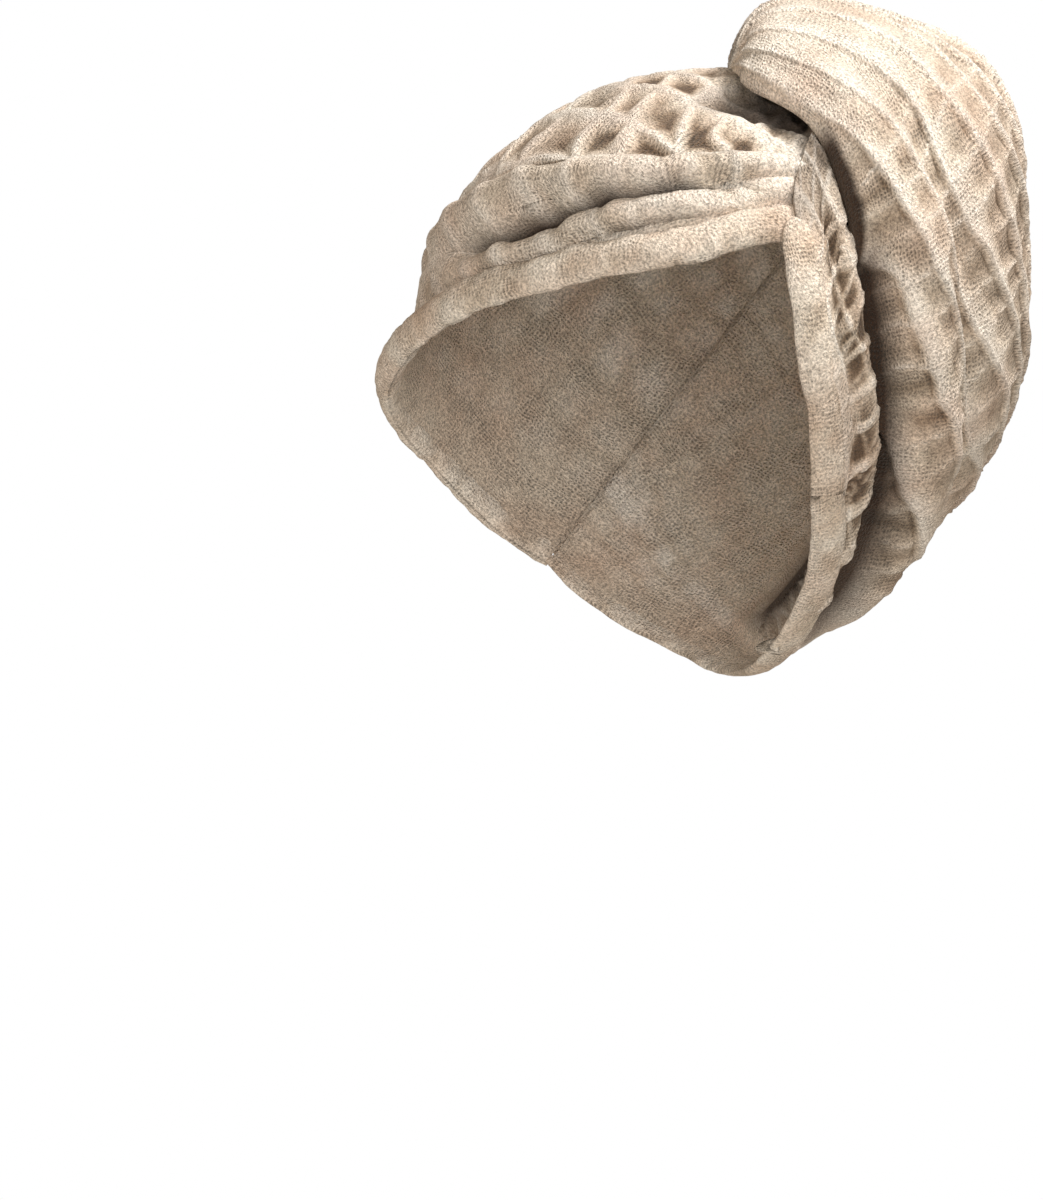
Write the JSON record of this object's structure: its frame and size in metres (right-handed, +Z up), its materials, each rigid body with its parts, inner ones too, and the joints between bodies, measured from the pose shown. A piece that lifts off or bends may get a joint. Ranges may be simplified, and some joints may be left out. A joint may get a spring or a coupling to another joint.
{
  "type": "hair turban towel",
  "caption": "Waffle-cloth hair turban in its worn form: side panels meeting in a forehead twist, a rolled tail over the crown, and a button and loop at the nape.",
  "frame": {"origin": "where the crown of the head sits inside the wrap", "axes": "+Z up through the crown, -Y out of the face opening, +X to the right of someone facing the wearer"},
  "size_m": [0.1968, 0.22, 0.2253],
  "materials": {
    "waffle_cloth": "napped waffle towelling",
    "hem_cloth": "napped towelling, rolled and stitched",
    "button": "satin"
  },
  "bodies": {
    "root": {"left_panel": "waffle_cloth", "right_panel": "waffle_cloth", "twisted_tail": "waffle_cloth", "left_hem": "hem_cloth", "right_hem": "hem_cloth", "button_and_loop": "button"}
  },
  "joints": []
}
